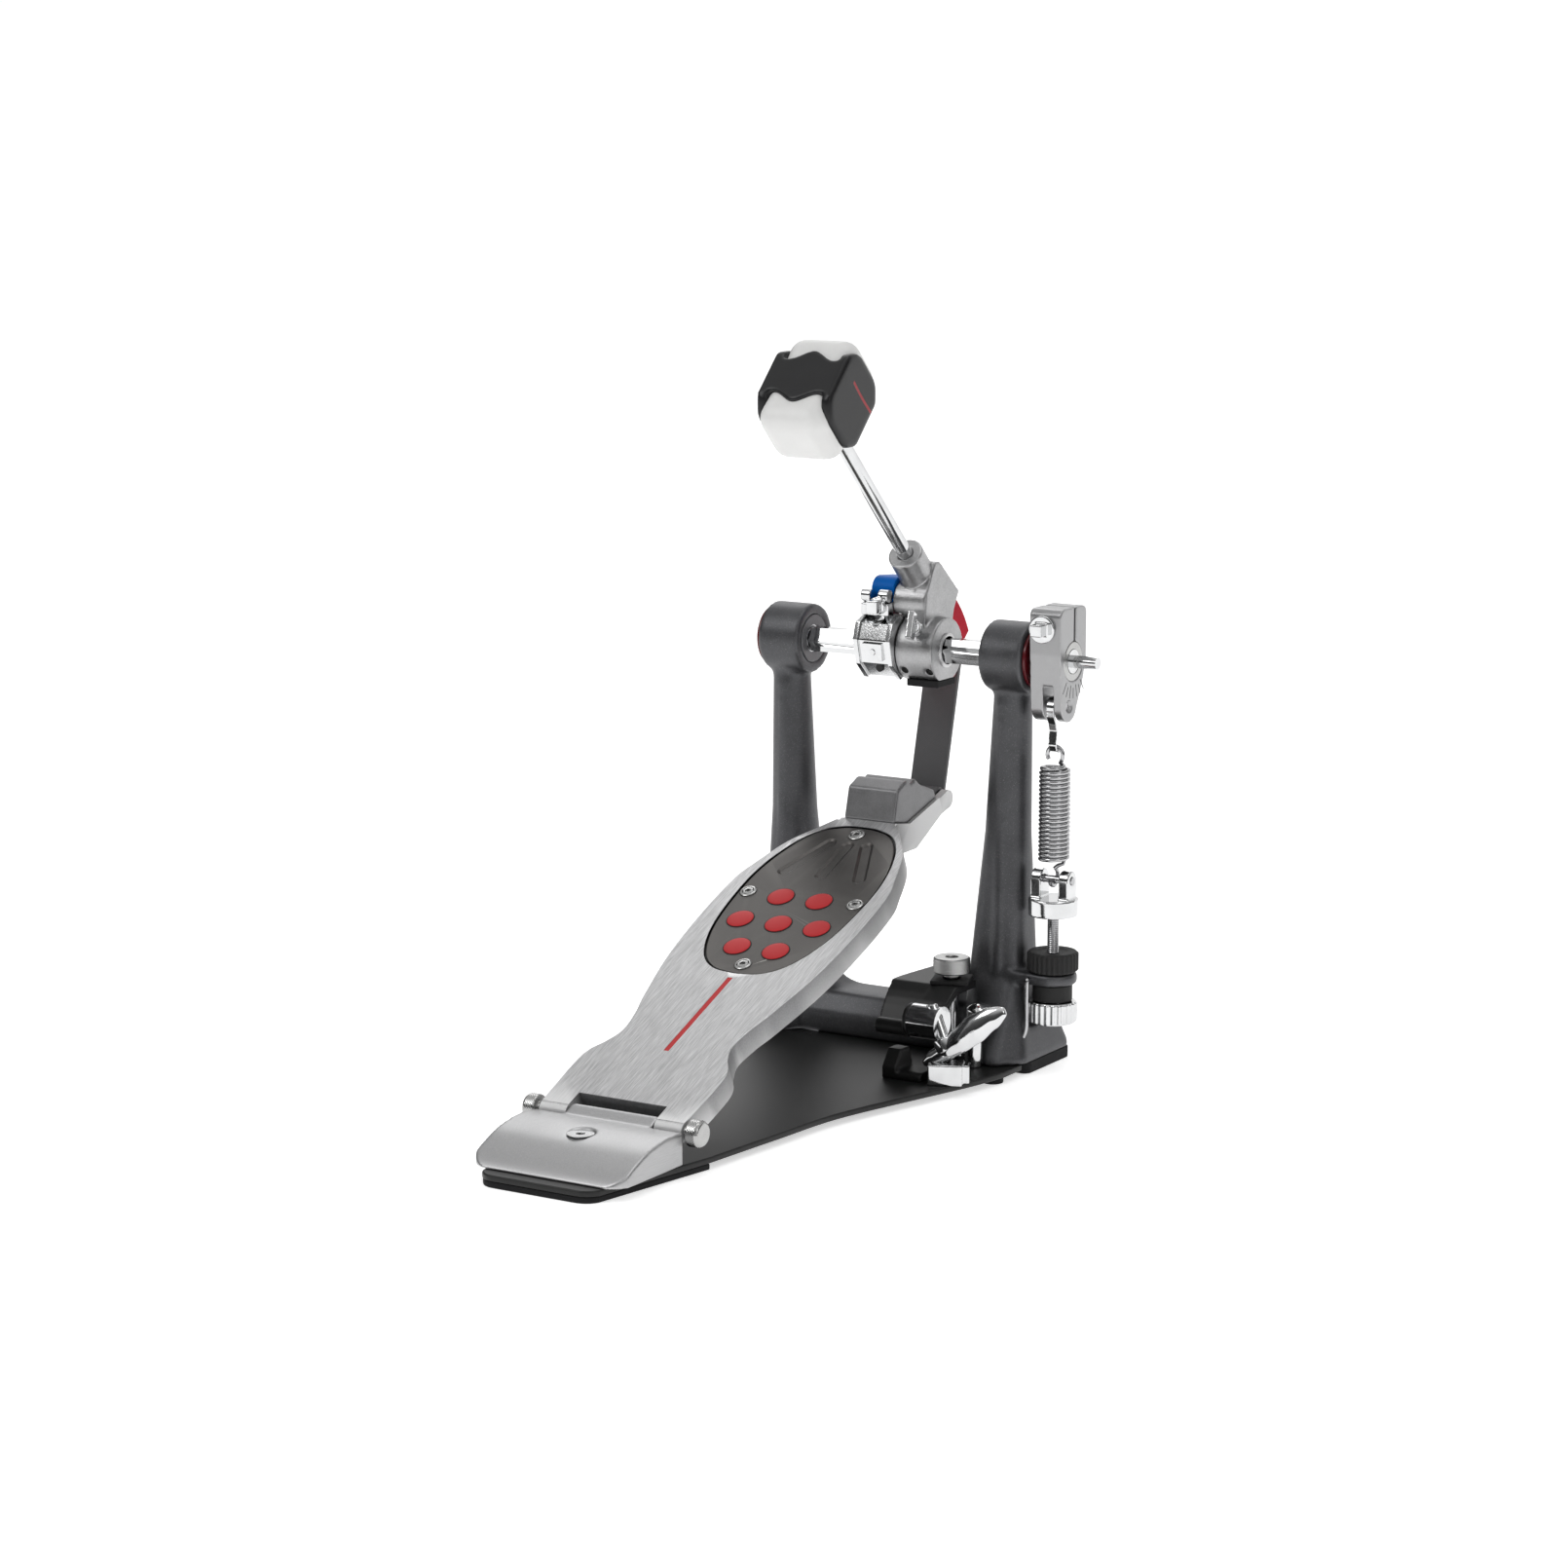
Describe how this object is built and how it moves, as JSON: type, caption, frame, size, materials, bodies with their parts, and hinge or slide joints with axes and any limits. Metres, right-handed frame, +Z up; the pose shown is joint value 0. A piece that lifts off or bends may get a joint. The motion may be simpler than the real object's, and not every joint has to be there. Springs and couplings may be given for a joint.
{
  "type": "bass drum pedal",
  "caption": "Strap-driven bass drum pedal with cast twin-post frame, tilting footboard, turning shaft, swinging beater and side extension spring.",
  "frame": {"origin": "on the floor straight under the drive shaft's axis, in the footboard's middle plane", "axes": "+X to the player's right (spring side), +Y from the heel towards the drum, +Z up"},
  "size_m": [0.1985, 0.376, 0.37],
  "materials": {
    "plate_black": "satin black powder coat",
    "rubber": "moulded matt rubber",
    "brushed_aluminium": "brushed and clear anodised",
    "dark_casting": "satin charcoal paint on cast alloy",
    "chrome": "polished",
    "steel": "plated",
    "seal_red": "dark red seal",
    "black_plastic": "moulded",
    "cast_aluminium": "tumbled casting",
    "blue_plastic": "moulded blue",
    "red_plastic": "moulded red",
    "webbing": "woven belt",
    "white_plastic": "white striking face",
    "gunmetal": "dark metallic",
    "red_enamel": "gloss red"
  },
  "bodies": {
    "frame": {"base_plate": "plate_black", "heel_pad": "rubber", "front_pads": "rubber", "heel_plate": "brushed_aluminium", "heel_bolt": "chrome", "hinge_pin": "steel", "hinge_thumb_screws": "steel", "left_post": "dark_casting", "right_post": "dark_casting", "cross_beam": "dark_casting", "left_bearing": "steel", "right_bearing": "steel", "bearing_seals": "seal_red", "tension_rod": "steel", "spring_clevis": "chrome", "clevis_pin": "steel", "tension_sleeve": "black_plastic", "wire_clip": "steel", "frame_bolt": "chrome", "clamp_stud": "steel", "clamp_seat": "plate_black", "clamp_anvil": "chrome", "lower_jaw_pad": "rubber"},
    "lock_nut": {"lock_nut": "black_plastic"},
    "tension_nut": {"tension_nut": "chrome"},
    "clamp_knob": {"clamp_knob": "steel"},
    "hoop_clamp": {"clamp_rocker": "plate_black", "clamp_washer": "steel", "barrel_nut": "chrome", "upper_jaw_pad": "rubber"},
    "wing_bolt": {"wing_bolt": "chrome"},
    "drive": {"drive_shaft": "chrome", "shaft_end_nut": "chrome", "cam_frame": "cast_aluminium", "blue_cam": "blue_plastic", "red_cam": "red_plastic", "strap_wrap": "webbing", "stroke_clamp": "chrome", "stroke_yoke": "chrome", "stroke_bolt": "chrome", "beater_holder": "cast_aluminium", "holder_screw": "chrome", "set_screws": "steel", "rubber_bumper": "rubber", "spring_lever": "cast_aluminium", "lever_insert": "steel", "lever_bolt": "chrome", "lever_pin": "steel"},
    "beater_rod": {"beater_stem": "chrome"},
    "beater_head": {"beater_body": "black_plastic", "beater_faces": "white_plastic"},
    "pedal_board": {"footboard": "brushed_aluminium", "toe_stop": "cast_aluminium", "traction_plate": "gunmetal", "traction_dots": "red_enamel", "traction_screws": "steel", "centre_line": "red_enamel"},
    "strap": {"strap": "webbing"},
    "spring_link": {"tension_spring": "steel"},
    "spring_hanger": {"shackle": "chrome"}
  },
  "joints": [
    {"name": "drive_turn", "type": "hinge", "parent": "frame", "child": "drive", "pos_m": [0, 0, 0.208], "axis": [1, 0, 0], "range_deg": [-50, 0], "stiffness_Nm_per_rad": 1.2, "springref_deg": 20.05},
    {"name": "board_tilt", "type": "hinge", "parent": "frame", "child": "pedal_board", "pos_m": [0, -0.262, 0.02], "axis": [1, 0, 0], "range_deg": [-7.6, 0.2]},
    {"name": "strap_swing", "type": "hinge", "parent": "drive", "child": "strap", "pos_m": [0, 0.038, 0.22], "axis": [1, 0, 0], "range_deg": [-0.5, 60]},
    {"name": "spring_swing", "type": "hinge", "parent": "frame", "child": "spring_link", "pos_m": [0.091, -0.004, 0.098], "axis": [1, 0, 0], "range_deg": [-0.5, 9.2]},
    {"name": "spring_stretch", "type": "slide", "parent": "spring_link", "child": "spring_hanger", "axis": [0, 0, 1], "range_m": [-0.0005, 0.0125], "deforming": ["tension_spring"]},
    {"name": "beater_height", "type": "slide", "parent": "drive", "child": "beater_rod", "axis": [0, -0.7145, 0.6997], "range_m": [-0.003, 0.02]},
    {"name": "beater_turn", "type": "hinge", "parent": "beater_rod", "child": "beater_head", "pos_m": [0.01, -0.0126, 0.2561], "axis": [0, -0.7145, 0.6997], "continuous": true},
    {"name": "lock_nut_turn", "type": "hinge", "parent": "frame", "child": "lock_nut", "pos_m": [0.091, -0.004, 0.056], "axis": [0, 0, 1], "continuous": true},
    {"name": "tension_nut_turn", "type": "hinge", "parent": "frame", "child": "tension_nut", "pos_m": [0.091, -0.004, 0.03], "axis": [0, 0, 1], "continuous": true},
    {"name": "knob_turn", "type": "hinge", "parent": "frame", "child": "clamp_knob", "pos_m": [0.0486, -0.0318, 0.054], "axis": [0, 0, 1], "continuous": true},
    {"name": "clamp_rock", "type": "hinge", "parent": "frame", "child": "hoop_clamp", "pos_m": [0.0486, -0.0318, 0.044], "axis": [1, 0, 0], "range_deg": [-5, 0]},
    {"name": "wing_turn", "type": "hinge", "parent": "hoop_clamp", "child": "wing_bolt", "pos_m": [0.0715, -0.0755, 0.0215], "axis": [-0.4362, 0.116, 0.8923], "range_deg": [-120, 20]}
  ],
  "couplings": [
    {"joint": "board_tilt", "follows": "drive_turn", "ratio": 0.139},
    {"joint": "strap_swing", "follows": "drive_turn", "ratio": -1.16},
    {"joint": "spring_swing", "follows": "drive_turn", "ratio": -0.178},
    {"joint": "spring_stretch", "follows": "drive_turn", "m_per_rad": -0.0139}
  ]
}
